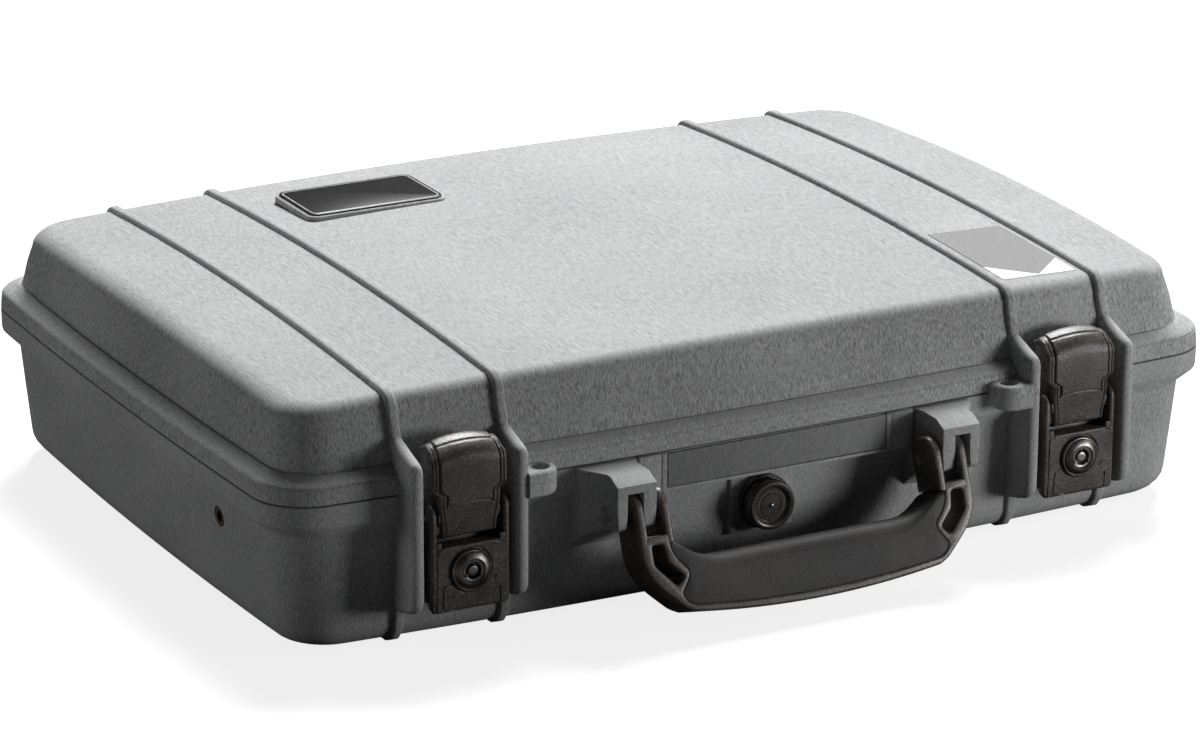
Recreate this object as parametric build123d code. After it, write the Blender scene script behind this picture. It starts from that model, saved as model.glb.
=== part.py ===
"""Laptop hard case: moulded base and lid, two key-locked latches, fold-out handle, purge valve.

Millimetres, +Z up, +X to the right, the front (handle and latches) faces -Y.  The origin is on the
resting plane, under the centre of the rim.
"""
import os
from math import cos, radians, sin

from build123d import *

os.makedirs("parts", exist_ok=True)

# ---- driving dimensions ------------------------------------------------------------------------
rim_half_width = 210.25      # at the corners; the sides bow out from there
rim_half_depth = 145.0
side_bow = 3.25
front_bow = 7.0
corner_radius = 20.0
wall = 4.5
foot_height = 1.5            # ribs under the floor
parting_z = 64.4
parting_gap = 0.15           # half the gap between the closed lid and the base
crown_z = 106.7              # middle of the lid's top
crown_radius_x = 4500.0      # how the top curves from side to side
crown_radius_y = 2100.0      # and from front to back
rib_height = 1.6
rib_width = 4.4
rib_x = (114.5, 158.65)      # the same ribs run on as guards beside the latches
guard_width = 5.4
guard_front_y = -160.0
guard_bottom_z = 19.0
guard_root_y = -136.0        # inside the walls that carry the guards

hinge_y = 151.5
hinge_radius = 5.5
hinge_pin_radius = 2.0
hinge_x = 112.0              # middle of each hinge
hinge_leaf = 14.0            # length of one knuckle

latch_x = (rib_x[0] + rib_x[1]) / 2
latch_pin_y = -153.5
latch_pin_z = 56.0
latch_pin_radius = 1.5
latch_front_y = -159.0
lever_half_width = 16.6
lever_arm = 2.7
lever_bottom_z = 18.0
lever_window_z = 44.5
claw_half_width = 16.1
tail_half_width = 13.2
lock_z = 34.1

handle_pivot_y = -163.5
handle_pivot_z = 46.8
handle_lean = 21.0           # degrees that the hanging handle stands out from vertical
handle_pin_radius = 1.5
bracket_slot = (69.5, 76.4)  # room for the outer prong
bracket_nose = (64.0, 80.7)
bracket_front_y = -172.0
bracket_slot_top_z = 57.9

valve_x = -4.5
valve_z = 36.5

running = 0.06               # radial clearance of what turns on a pin
base_top_z = parting_z - parting_gap
lid_bottom_z = parting_z + parting_gap
ear_bottom_z = 58.5          # padlock ear of the base
ear_top_z = 68.8             # padlock ear of the lid
ear_front = (160.5, 161.5)   # how far forward the ears of the base and the lid reach
ear_corner_radius = 7.0
shackle_hole_radius = 3.75
shackle_hole_y = -154.5
hinge_root_y = 140.0


# ---- helpers -----------------------------------------------------------------------------------
def block(x, y, z):
    """Box between the pairs x, y and z."""
    size = (abs(x[1] - x[0]), abs(y[1] - y[0]), abs(z[1] - z[0]))
    middle = (sum(x) / 2, sum(y) / 2, sum(z) / 2)
    return Pos(*middle) * Box(*size)


def rod_x(x, y, z, radius):
    """Cylinder along X between the pair x."""
    turn = Rot(0, 90, 0)
    return Pos(sum(x) / 2, y, z) * turn * Cylinder(radius, abs(x[1] - x[0]))


def rod_y(y, x, z, radius):
    """Cylinder along Y between the pair y."""
    turn = Rot(90, 0, 0)
    return Pos(x, sum(y) / 2, z) * turn * Cylinder(radius, abs(y[1] - y[0]))


def rod_z(z, x, y, radius):
    """Cylinder along Z between the pair z."""
    return Pos(x, y, sum(z) / 2) * Cylinder(radius, abs(z[1] - z[0]))


def side_profile(points, x):
    """Prism along X, between the pair x, of a (y, z) outline."""
    face = Plane.YZ.offset(x[0]) * Polygon(*points, align=None)
    return extrude(face, amount=x[1] - x[0], dir=(1, 0, 0))


def mirrored(shape):
    return mirror(shape, about=Plane.YZ)


def both_sides(shape):
    return shape + mirrored(shape)


def bow_at(x):
    """How far the front wall stands out at x beyond the corners."""
    return front_bow * (1 - (x / rim_half_width) ** 2)


def outline(z, inset_x, inset_y):
    """Case outline at height z: bowed sides and front, straight back, rounded corners."""
    w = rim_half_width - inset_x
    d = rim_half_depth - inset_y
    edges = [
        ThreePointArc((-w, -d), (0, -d - front_bow), (w, -d)),
        ThreePointArc((w, -d), (w + side_bow, 0), (w, d)),
        Line((w, d), (-w, d)),
        ThreePointArc((-w, d), (-w - side_bow, 0), (-w, -d)),
    ]
    face = make_face(edges)
    face = fillet(face.vertices(), corner_radius - 0.25 * inset_x)
    return Pos(0, 0, z) * face


def stacked(levels):
    """Straight-sided solid through (z, inset_x, inset_y) levels."""
    solid = None
    for lower, upper in zip(levels, levels[1:]):
        step = loft([outline(*lower), outline(*upper)], ruled=True)
        solid = step if solid is None else solid + step
    return solid


def ring(z, inner_inset, outer_inset):
    """Closed rim track between two insets and the pair z."""
    height = z[1] - z[0]
    outer = extrude(outline(z[0], outer_inset, outer_inset), amount=height)
    inner = extrude(outline(z[0], inner_inset, inner_inset), amount=height)
    return outer - inner


def under_crown(top_z):
    """Everything under the domed top whose middle is at top_z."""
    reach = 260.0
    sag = reach ** 2 / (2 * crown_radius_x)
    edges = [
        ThreePointArc((-reach, 0, top_z - sag), (0, 0, top_z), (reach, 0, top_z - sag)),
        Line((reach, 0, top_z - sag), (reach, 0, -20)),
        Line((reach, 0, -20), (-reach, 0, -20)),
        Line((-reach, 0, -20), (-reach, 0, top_z - sag)),
    ]
    face = make_face(edges)
    axis = Axis((0, 0, top_z - crown_radius_y), (1, 0, 0))
    half_turn = 6.0
    return revolve(face.rotate(axis, -half_turn), axis=axis, revolution_arc=2 * half_turn)


def save(node, shape):
    export_step(shape, f"parts/{node}.step")


# ---- base --------------------------------------------------------------------------------------
floor_z = foot_height
base_outer_levels = [
    (floor_z, 19, 16),
    (floor_z + 3, 13.2, 10.2),
    (floor_z + 10, 10, 7),
    (50, 6.5, 4.5),
    (54.5, 0.3, 0.3),
    (base_top_z, 0, 0),
]
base_cavity_levels = [
    (floor_z + wall, 24, 21),
    (floor_z + wall + 8, 14.5, 11.5),
    (50, 11, 9.2),
    (base_top_z + 2, 11, 9),
]
latch_pocket_y = -147.5
knuckle_gap = 0.5


def guard_pairs():
    """The (low, high) X pair of each guard beside the right-hand latch."""
    return [(x - guard_width / 2, x + guard_width / 2) for x in rib_x]


def base_rib(x):
    """Rib under the floor that turns up the front and back walls."""
    front = -(rim_half_depth - 7) - bow_at(x) - rib_height
    back = rim_half_depth - 7 + rib_height
    points = [
        (front - 1.6, 30), (front, 11), (front + 4, 3.6), (front + 10, 0), (back - 10, 0),
        (back - 4, 3.6), (back, 11), (back + 2, 45), (back - 4, 45), (back - 12, 8),
        (front + 12, 8), (front + 3, 30),
    ]
    return side_profile(points, (x - rib_width / 2, x + rib_width / 2))


def base_guard(pair):
    front = guard_front_y
    points = [
        (guard_root_y, guard_bottom_z - 5.1), (front + 6, guard_bottom_z - 1),
        (front + 1.6, guard_bottom_z + 0.6), (front, guard_bottom_z + 3.4),
        (front, base_top_z), (guard_root_y, base_top_z),
    ]
    return side_profile(points, pair)


def padlock_ear(z, reach):
    """Ear beside the inner guard, over the pair z."""
    x_in, x_out = rib_x[0] - 16.5, rib_x[0] - 1
    hole_x = (x_in + rib_x[0] - guard_width / 2) / 2
    body = block((x_in, x_out), (-reach, -146), z)
    corner = body.edges().filter_by(Axis.Z).sort_by(Axis.Y)[0:2].sort_by(Axis.X)[0]
    body = fillet(corner, ear_corner_radius)
    return body - rod_z((z[0] - 1, z[1] + 1), hole_x, shackle_hole_y, shackle_hole_radius)


def handle_bracket():
    """Block that carries one end of the handle; its nose is split into two legs."""
    near, far = bracket_nose
    front = bracket_front_y
    plan = [
        (62.5, -140), (62.5, -152.5), (near, -156), (near, front), (far, front), (far, -162),
        (88, -154), (88, -140),
    ]
    body = extrude(Pos(0, 0, 20) * Polygon(*plan, align=None), amount=50, dir=(0, 0, 1))
    side = [
        (-140, base_top_z), (-152.5, base_top_z), (front + 6, base_top_z - 0.3), (front + 2.2, 62.8),
        (front, 60), (front, 44), (front + 2, 42.4), (-160, 41), (-152, 36), (-140, 26),
    ]
    body = body & side_profile(side, (50, 100))
    body -= block(bracket_slot, (front - 3, -152.8), (20, bracket_slot_top_z))
    return body - rod_x((60, 90), handle_pivot_y, handle_pivot_z, handle_pin_radius)


def hinge_knuckle(x, bore, root_y, root_z, lift):
    """Knuckle along the pair x with a web to the rim; lift is +1 on the lid and -1 on the base."""
    barrel = rod_x(x, hinge_y, parting_z, hinge_radius)
    z_near = parting_z + lift * parting_gap
    points = [
        (root_y, z_near), (hinge_y, z_near), (hinge_y + 2.5, z_near + lift * 3.5),
        (hinge_y - 2, z_near + lift * 6.5), (root_y, root_z),
    ]
    body = barrel + side_profile(points, x)
    return body - rod_x((x[0] - 1, x[1] + 1), hinge_y, parting_z, bore)


def keeper():
    """Hook on the front wall that the lock's cam turns behind, at the right-hand latch."""
    x = latch_x
    stem = block((x - 13.2, x - 11.2), (-151.6, -140), (lock_z - 5, lock_z + 5))
    lip = block((x - 13.2, x - 8.6), (-151.6, -149.8), (lock_z - 5, lock_z + 5))
    return stem + lip


def front_boss():
    """Raised field under the rim for the name panel, with a plain field at each end."""
    return block((-61.3, 61.3), (-153.4, -140), (48.7, base_top_z))


def valve_pad():
    return block((valve_x - 14, valve_x + 14), (-148.5, -140), (valve_z - 13, valve_z + 12.5))


def strap_boss():
    return rod_x((197.5, 204), -80, 41, 6.5)


def base_tub():
    """Outside of the moulded tub, still solid."""
    return stacked(base_outer_levels)


def base_shell():
    """Tub with its ribs, name boss, valve pad, lock keepers and the tongue that meets the gasket."""
    body = base_tub()
    for x, pair in zip(rib_x, guard_pairs()):
        body += both_sides(base_rib(x) - base_guard(pair))
    body += block((-rib_x[1], rib_x[1]), (-rib_width / 2, rib_width / 2), (0, floor_z + 1))
    body += front_boss()
    body += valve_pad()
    pocket_x = (rib_x[0] + guard_width / 2, rib_x[1] - guard_width / 2)
    body -= both_sides(block(pocket_x, (-170, latch_pocket_y), (46, 80)))
    body -= stacked(base_cavity_levels)
    body += both_sides(strap_boss())
    body -= both_sides(rod_x((198.8, 215), -80, 41, 4.0))
    body += keeper()
    body += Pos(-2 * latch_x, 0, 0) * keeper()
    body += ring((base_top_z - 0.5, parting_z + 1.4), 7, 5)
    body -= block((-49.2, 49.2), (-160, -151.9), (50, base_top_z + 1))
    return body - rod_y((-160, -130), valve_x, valve_z, 6.05)


def base_fittings():
    """Guards, handle brackets and hinge knuckles that stand on the tub, by node name, right side."""
    tub = base_tub()
    pin_hole = rod_x((rib_x[0] - 2, rib_x[1] + 2), latch_pin_y, latch_pin_z, latch_pin_radius)
    inner, outer = (base_guard(pair) for pair in guard_pairs())
    inner += padlock_ear((ear_bottom_z, base_top_z), ear_front[0])
    fittings = {
        "base_guard_inner": inner - tub - pin_hole,
        "base_guard_outer": outer - tub - pin_hole,
        "handle_bracket": handle_bracket() - tub,
    }
    for place, end in (("inner", -1), ("outer", 1)):
        middle = hinge_x + end * (hinge_leaf + knuckle_gap)
        pair = (middle - hinge_leaf / 2, middle + hinge_leaf / 2)
        knuckle = hinge_knuckle(pair, hinge_pin_radius, hinge_root_y, 50, -1)
        fittings[f"base_knuckle_{place}"] = knuckle - tub
    return fittings


# ---- lid ---------------------------------------------------------------------------------------
lid_outer_levels = [
    (lid_bottom_z, 0, 0),
    (71.2, 0.8, 0.7),
    (75.7, 8.8, 6),
    (90, 10.3, 10.5),
    (96.5, 11.3, 11.7),
    (99.6, 12.6, 12.7),
    (101.6, 15.0, 14.4),
    (103.2, 19.0, 17.5),
    (109, 36, 29),
]
lid_cavity_levels = [
    (lid_bottom_z - 2, 11, 9),
    (74, 12.6, 10.5),
    (90, 15, 15),
    (97, 19.5, 19),
    (104, 32, 30),
]
label_middle = (-67.5, 81.0)
label_size = (61.0, 36.0)
catch_top_z = 81.6
catch_front_y = -147.8


def lid_rib(x):
    """Rib over the lid, from the front slope across the crown to the back."""
    top = crown_z - x ** 2 / (2 * crown_radius_x) + rib_height
    reach = 125.0
    end = top - reach ** 2 / (2 * crown_radius_y)
    bow = bow_at(x)
    front = [
        (-reach, end), (-128.6 - bow * 0.4, end - 1.2), (-133.5 - bow * 0.4, end - 6),
        (-137.2, 87.6), (-144, 84), (-144, 70), (-120, 70),
    ]
    back = [(120, 70), (145, 70), (140.5, 76.5), (136.5, 90), (131, end - 4), (reach, end)]
    edges = [
        Polyline(*front),
        Line(front[-1], back[0]),
        Polyline(*back),
        ThreePointArc(back[-1], (0, top), front[0]),
    ]
    face = Plane.YZ.offset(x - rib_width / 2) * make_face(edges)
    return extrude(face, amount=rib_width, dir=(1, 0, 0))


def lid_guard(pair):
    front = guard_front_y
    points = [
        (guard_root_y, lid_bottom_z), (front, lid_bottom_z), (front, 76.5), (front + 0.8, 78.1),
        (front + 3, 79.4), (-141, 84.5), (-138.2, 86.4), (-136, 89.5),
    ]
    return side_profile(points, pair)


def catch_block():
    """Ledge between the guards that the claw hooks over."""
    return block((latch_x - 15.6, latch_x + 15.6), (catch_front_y, -138), (70, catch_top_z))


def label_pad():
    x, y = label_middle
    pad = extrude(Pos(x, y, 100) * RectangleRounded(label_size[0] + 3, label_size[1] + 3, 5), amount=6.6)
    return pad


def lid_top():
    """Outside of the moulded lid, still solid."""
    return stacked(lid_outer_levels) & under_crown(crown_z)


def lid_shell():
    """Lid with its ribs, the catches of the latches, the label's pad and the gasket groove."""
    body = lid_top()
    for x, pair in zip(rib_x, guard_pairs()):
        body += both_sides(lid_rib(x) - lid_guard(pair))
    pocket_x = (rib_x[0] + guard_width / 2, rib_x[1] - guard_width / 2)
    body -= both_sides(block(pocket_x, (-170, latch_pocket_y), (60, 80)))
    body += both_sides(catch_block())
    body += label_pad()
    body -= stacked(lid_cavity_levels) & under_crown(crown_z - wall + 0.3)
    return body - ring((lid_bottom_z - 1, 69), 7.6, 4.4)


def lid_fittings():
    """Guards and hinge knuckles that stand on the lid, by node name, right side."""
    top = lid_top()
    inner, outer = (lid_guard(pair) for pair in guard_pairs())
    inner += padlock_ear((lid_bottom_z, ear_top_z), ear_front[1])
    pair = (hinge_x - hinge_leaf / 2, hinge_x + hinge_leaf / 2)
    knuckle = hinge_knuckle(pair, hinge_pin_radius + running, hinge_root_y, 74, 1)
    return {
        "lid_guard_inner": inner - top,
        "lid_guard_outer": outer - top,
        "lid_knuckle": knuckle - top - lid_rib(rib_x[0]),
    }


def gasket():
    return ring((66.9, 69), 7.5, 4.5)


def label_plate():
    x, y = label_middle
    return extrude(Pos(x, y, 106.6) * RectangleRounded(*label_size, 4), amount=0.8)


def sticker():
    patch = block((119, 154), (-126, -68), (90, 110))
    return (patch & under_crown(crown_z + 0.4)) - under_crown(crown_z)


# ---- latches -----------------------------------------------------------------------------------
def latch_pin(x):
    return rod_x((x - latch_x + rib_x[0] - 2, x - latch_x + rib_x[1] + 2),
                 latch_pin_y, latch_pin_z, latch_pin_radius)


def latch_claw(x):
    """T-shaped rocker: a cap that hooks over the lid's catch and a thumb tail under the pin."""
    front = latch_front_y
    cap = [
        (front, 65), (front, 79.4), (front + 1.4, 82.6), (front + 4.5, 84.8), (-148.4, 85.5),
        (-148.4, 82.6), (-152.4, 82.2), (-154, 79.5), (-154.8, 75), (-154.8, 65),
    ]
    tail = [
        (front, 50.8), (front, 65.2), (-154.8, 65.2), (-153, 60), (-155, 51.8), (front + 1, 49.8),
    ]
    body = side_profile(cap, (x - claw_half_width, x + claw_half_width))
    body += side_profile(tail, (x - tail_half_width, x + tail_half_width))
    across = (x - tail_half_width, x + tail_half_width)
    body += rod_x(across, latch_pin_y, latch_pin_z, 4.4)
    wide = (x - 30, x + 30)
    return body - rod_x(wide, latch_pin_y, latch_pin_z, latch_pin_radius + running)


def latch_lever(x):
    """Lock plate that straddles the claw's tail and swings out on the same pin."""
    front = latch_front_y
    inner = lever_half_width - lever_arm
    body = block((x - lever_half_width, x + lever_half_width), (front, front + 4),
                 (lever_bottom_z, lever_window_z))
    body += block((x - inner, x + inner), (front + 4, front + 6.5), (lever_window_z - 2, lever_window_z))
    for side in (-1, 1):
        arm = sorted((x + side * inner, x + side * lever_half_width))
        body += block(arm, (front, front + 8.5), (lever_bottom_z, latch_pin_z))
        body += rod_x(arm, latch_pin_y, latch_pin_z, 5.2)
    wide = (x - 30, x + 30)
    body -= rod_x(wide, latch_pin_y, latch_pin_z, latch_pin_radius + running)
    body -= rod_y((front - 5, front + 10), x, lock_z, 7.0)
    return body


def lock_barrel(x):
    front = latch_front_y
    body = rod_y((front - 2, front), x, lock_z, 8.7)
    body += rod_y((front, -149.5), x, lock_z, 7.0)
    return body - rod_y((front - 5, -140), x, lock_z, 4.5 + running)


def lock_nut(x):
    hexagon = Plane.XZ * Pos(x, lock_z) * RegularPolygon(9.5, 6)
    nut = Pos(0, -152, 0) * extrude(hexagon, amount=3)
    return nut - rod_y((-160, -145), x, lock_z, 7.0)


def lock_plug(x):
    front = latch_front_y - 2.2
    body = rod_y((front, -149.2), x, lock_z, 4.5)
    slot = rod_y((front - 1, front + 3), x, lock_z, 3.6) - rod_y((front - 1, front + 3), x, lock_z, 2.4)
    body -= slot
    body -= block((x - 5, x - 3), (front - 1, front + 2), (lock_z - 0.8, lock_z + 0.8))
    return body - rod_y((-153, -149), x, lock_z, 1.25)


def lock_cam(x):
    bar = block((x - 3, x + 3), (-149.2, -147.4), (lock_z - 10.4, lock_z))
    bar += rod_y((-149.2, -147.4), x, lock_z, 4.2)
    return bar - rod_y((-150, -147), x, lock_z, 1.25)


def cam_screw(x):
    return rod_y((-153, -147.4), x, lock_z, 1.25) + rod_y((-147.4, -146.2), x, lock_z, 2.4)


# ---- handle ------------------------------------------------------------------------------------
# Drawn hanging straight down from its pivot at (0, 0, 0), then leant out and moved to the bracket.
inner_prong = (59.0, 62.8)
outer_prong = (70.0, 74.0)
crotch_z = -9.6
prong_top_z = 8.8
prong_corner = 8.0
handle_front = -10.6
handle_back = 7.0
frame_outer = [(74, -18), (73, -21.5), (70.8, -26), (68, -30), (60.9, -36.9), (57.2, -39.8), (54.5, -41.2)]
frame_inner = [
    (54.5, -38), (57.6, -36.1), (58.9, -33.3), (57.4, -31), (55.6, -28.4), (54.9, -26), (55.4, -24),
    (58.3, -20.6), (59.8, -18), (60.8, -15.5), (61, -12.6), (60.2, -10.9), (59, -10.2),
]
frame_bottom_z = -44.9       # middle of the lower strip
grip_bottom_z = -41.3
grip_top_z = -20.4
window = [(64.5, -13.5), (69, -13.5), (69, -21), (60.9, -29.9), (57.5, -26.7), (63.3, -21)]


def frame_half_face():
    """Right half of the frame, from the middle of the lower strip to the arm."""
    sag = frame_bottom_z - frame_outer[-1][1]
    lower = ThreePointArc((0, frame_bottom_z), (27, frame_bottom_z - sag / 4), frame_outer[-1])
    sag = grip_bottom_z - frame_inner[0][1]
    upper = ThreePointArc((0, grip_bottom_z), (27, grip_bottom_z - sag / 4), frame_inner[0])
    arm = [frame_outer[0], (outer_prong[1], crotch_z), (inner_prong[0], crotch_z), frame_inner[-1]]
    edges = [
        lower,
        Polyline(*reversed(frame_outer)),
        Polyline(*arm),
        Polyline(*reversed(frame_inner)),
        upper,
        Line((0, grip_bottom_z), (0, frame_bottom_z)),
    ]
    return make_face(edges)


def through_handle(face):
    """Solid from an in-plane (x, z) face, from the handle's front to its back."""
    solid = extrude(Plane.XZ * face, amount=handle_back - handle_front, dir=(0, 1, 0))
    return Pos(0, handle_front, 0) * solid


def handle_in_place(shape):
    return Pos(0, handle_pivot_y, handle_pivot_z) * Rot(-handle_lean, 0, 0) * shape


def handle_prong(pair):
    """Flat tongue with a rounded end around the pivot."""
    width = handle_back - handle_front
    height = prong_top_z - crotch_z + 12
    middle = ((handle_front + handle_back) / 2, prong_top_z - height / 2)
    tongue = Plane.YZ.offset(pair[0]) * Pos(*middle) * RectangleRounded(width, height, prong_corner)
    tongue = extrude(tongue, amount=pair[1] - pair[0], dir=(1, 0, 0))
    return tongue & block(pair, (-30, 30), (crotch_z - 1, 30))


def frame_half():
    body = through_handle(frame_half_face() - Polygon(*window, align=None))
    body += handle_prong(inner_prong) + handle_prong(outer_prong)
    body += block((0, 54), (-3.5, 3.5), (grip_bottom_z - 1, -31))
    return body - rod_x((50, 85), 0, 0, handle_pin_radius + running)


def handle_frame():
    half = frame_half()
    return handle_in_place(half + mirrored(half))


def handle_grip():
    """Soft grip moulded round the frame's spine, with its ends carried up beside the prongs."""
    end = 44.0
    tip = (58.2, -10.0)
    sag = grip_bottom_z - frame_inner[0][1]
    edges = [
        ThreePointArc((0, grip_bottom_z), (27, grip_bottom_z - sag / 4), frame_inner[0]),
        Polyline(*frame_inner, (inner_prong[0], tip[1]), tip),
        ThreePointArc(tip, (54.3, -17.2), (end, grip_top_z)),
        Polyline((end, grip_top_z), (0, grip_top_z), (0, grip_bottom_z)),
    ]
    half = through_handle(make_face(edges))
    depth = handle_back - handle_front
    height = grip_top_z - grip_bottom_z + 8
    middle = ((handle_front + handle_back) / 2, grip_top_z - height / 2)
    palm = Plane.YZ * Pos(*middle) * RectangleRounded(depth, height, 6.5)
    palm = extrude(palm, amount=end, dir=(1, 0, 0))
    half = half & (palm + block((end, 80), (-30, 30), (-60, 0)))
    frame = frame_half()
    return handle_in_place(half + mirrored(half) - frame - mirrored(frame))


def handle_pin():
    pin = rod_x((58.5, bracket_nose[1]), handle_pivot_y, handle_pivot_z, handle_pin_radius)
    return pin + rod_x((57.9, inner_prong[0] - 0.05), handle_pivot_y, handle_pivot_z, 2.3)


# ---- purge valve -------------------------------------------------------------------------------
def valve_washer():
    return rod_y((-149.5, -148.5), valve_x, valve_z, 9.5) - rod_y((-151, -148), valve_x, valve_z, 6.2)


def valve_body():
    body = rod_y((-152, -149.5), valve_x, valve_z, 11)
    body += rod_y((-149.6, -137.5), valve_x, valve_z, 6)
    body -= rod_y((-153, -142), valve_x, valve_z, 3 + running)
    return body - rod_y((-139.5, -137), valve_x, valve_z, 5)


def valve_knob():
    cap = rod_y((-158, -152.3), valve_x, valve_z, 10.6)
    cap = fillet(cap.edges().filter_by(GeomType.CIRCLE).sort_by(Axis.Y)[0], 2.2)
    cap -= rod_y((-159, -156.9), valve_x, valve_z, 7.6)
    for turn in range(8):
        angle = radians(45 * turn)
        x = valve_x + 10.9 * cos(angle)
        z = valve_z + 10.9 * sin(angle)
        cap -= rod_y((-156.2, -151), x, z, 0.8)
    return cap + rod_y((-152.4, -143), valve_x, valve_z, 3)


def valve_nut():
    hexagon = Plane.XZ * Pos(valve_x, valve_z) * RegularPolygon(9.5, 6)
    nut = Pos(0, -137.6, 0) * extrude(hexagon, amount=3.6)
    return nut - rod_y((-150, -130), valve_x, valve_z, 6)


def valve_membrane():
    return rod_y((-139.5, -138.9), valve_x, valve_z, 5)


# ---- small trim and foam -----------------------------------------------------------------------
def name_panel():
    return block((-48.9, 48.9), (-153.5, -151.9), (50.2, base_top_z - 0.2))


def strap_insert():
    body = rod_x((198.8, 205), -80, 41, 4.0)
    return body - rod_x((199.5, 206), -80, 41, 2.1)


def foam_levels(levels, bottom, top):
    """Cavity levels pulled in by the foam's clearance and cut to the pair bottom, top."""
    slack = 0.3
    spread = [(z, x + slack, y + slack) for z, x, y in levels]
    return stacked(spread) & block((-300, 300), (-300, 300), (bottom, top))


laptop_recess = (352.0, 246.0)
recess_floor_z = 22.0
base_foam_top_z = 62.6


def base_foam():
    body = foam_levels(base_cavity_levels, floor_z + wall + 0.2, base_foam_top_z)
    recess = Pos(0, 0, recess_floor_z) * RectangleRounded(*laptop_recess, 14)
    body -= extrude(recess, amount=60)
    for side in (-1, 1):
        body -= Pos(side * laptop_recess[0] / 4, -laptop_recess[1] / 2, 30) * Cylinder(
            9, 80, align=(Align.CENTER, Align.CENTER, Align.MIN))
    body -= rod_y((-150, -136.5), valve_x, valve_z, 11)
    return body - both_sides(rod_x((196.8, 210), -80, 41, 7.5))


def lid_foam():
    cavity = foam_levels(lid_cavity_levels, 65.4, 101)
    return cavity & under_crown(crown_z - wall - 0.2)


# ---- write the nodes ---------------------------------------------------------------------------
def main():
    save("base_shell", base_shell())
    save("lid_shell", lid_shell())
    save("lid_gasket", gasket())
    save("label_plate", label_plate())
    save("sticker", sticker())
    save("name_panel", name_panel())
    save("base_foam", base_foam())
    save("lid_foam", lid_foam())
    save("handle_frame", handle_frame())
    save("handle_grip", handle_grip())
    save("valve_washer", valve_washer())
    save("valve_body", valve_body())
    save("valve_knob", valve_knob())
    save("valve_nut", valve_nut())
    save("valve_membrane", valve_membrane())
    for node, shape in (base_fittings() | lid_fittings()).items():
        save(f"{node}_right", shape)
        save(f"{node}_left", mirrored(shape))
    for name, side in (("left", -1), ("right", 1)):
        x = side * latch_x
        save(f"latch_pin_{name}", latch_pin(latch_x) if side > 0 else mirrored(latch_pin(latch_x)))
        save(f"latch_claw_{name}", latch_claw(x))
        save(f"latch_lever_{name}", latch_lever(x))
        save(f"lock_barrel_{name}", lock_barrel(x))
        save(f"lock_nut_{name}", lock_nut(x))
        save(f"lock_plug_{name}", lock_plug(x))
        save(f"lock_cam_{name}", lock_cam(x))
        save(f"cam_screw_{name}", cam_screw(x))
        hinge = rod_x((side * hinge_x - 22, side * hinge_x + 22), hinge_y, parting_z, hinge_pin_radius)
        save(f"hinge_pin_{name}", hinge)
        save(f"handle_pin_{name}", handle_pin() if side > 0 else mirrored(handle_pin()))
        save(f"strap_insert_{name}", strap_insert() if side > 0 else mirrored(strap_insert()))


main()
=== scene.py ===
import bmesh
import bpy
import itertools
from math import copysign, cos, pi, radians, sin, sqrt
from mathutils import Matrix, Vector


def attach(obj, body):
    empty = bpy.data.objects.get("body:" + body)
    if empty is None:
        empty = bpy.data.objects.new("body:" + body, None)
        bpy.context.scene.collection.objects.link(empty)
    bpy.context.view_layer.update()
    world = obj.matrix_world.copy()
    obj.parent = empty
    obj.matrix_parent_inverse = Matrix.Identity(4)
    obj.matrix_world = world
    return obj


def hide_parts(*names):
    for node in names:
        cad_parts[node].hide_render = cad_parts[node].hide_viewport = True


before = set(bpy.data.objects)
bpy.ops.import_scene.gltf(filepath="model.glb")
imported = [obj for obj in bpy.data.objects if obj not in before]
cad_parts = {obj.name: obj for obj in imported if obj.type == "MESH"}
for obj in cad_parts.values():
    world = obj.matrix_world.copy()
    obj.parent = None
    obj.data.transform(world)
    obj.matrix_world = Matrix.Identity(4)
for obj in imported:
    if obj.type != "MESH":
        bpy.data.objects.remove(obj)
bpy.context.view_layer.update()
MM = 0.001
SIDES = (-1, 1)
WORDS = ("left", "right")
CORNERS = ((1, 1, 0), (-1, 1, 90), (-1, -1, 180), (1, -1, 270))   # signs of X and Y, start of the arc


# ---- modelling helpers: sizes in millimetres ----
def fresh():
    if bpy.context.object and bpy.context.object.mode != "OBJECT":
        bpy.ops.object.mode_set(mode="OBJECT")
    bpy.ops.object.select_all(action="DESELECT")


def pick(ob):
    fresh()
    ob.select_set(True)
    bpy.context.view_layer.objects.active = ob
    return ob


def on_circle(middle, radius, degrees):
    """2-D point on a circle, at an angle."""
    a = radians(degrees)
    return middle[0] + radius * cos(a), middle[1] + radius * sin(a)


def opened(ob):
    """Puts a piece in edit mode with all of it selected."""
    pick(ob)
    bpy.ops.object.mode_set(mode="EDIT")
    bpy.ops.mesh.select_all(action="SELECT")


def closed(ob):
    bpy.ops.object.mode_set(mode="OBJECT")
    return ob


def drawn(points, fill="NGON"):
    """A circle whose corners are drawn out onto the given 3-D points."""
    fresh()
    bpy.ops.mesh.primitive_circle_add(vertices=len(points), radius=0.01, fill_type=fill)
    ob = bpy.context.object
    for vertex, point in zip(ob.data.vertices, points):
        vertex.co = Vector(point) * MM
    return ob


def on_axis(axis, along, pair):
    """3-D point from a place along an axis and the other two coordinates."""
    point = list(pair)
    point.insert("xyz".index(axis), along)
    return tuple(point)


def outward(ob):
    opened(ob)
    bpy.ops.mesh.remove_doubles(threshold=0.000004)
    bpy.ops.mesh.normals_make_consistent(inside=False)
    return closed(ob)


def rounded(ob, width, segments=3, angle=30):
    """Bevel modifier over every edge sharper than the angle, applied."""
    pick(ob)
    bevel = ob.modifiers.new("edge", "BEVEL")
    bevel.width = width * MM
    bevel.segments = segments
    bevel.limit_method = "ANGLE"
    bevel.angle_limit = radians(angle)
    bevel.miter_outer = "MITER_ARC"
    bpy.ops.object.modifier_apply(modifier=bevel.name)
    return ob


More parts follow.
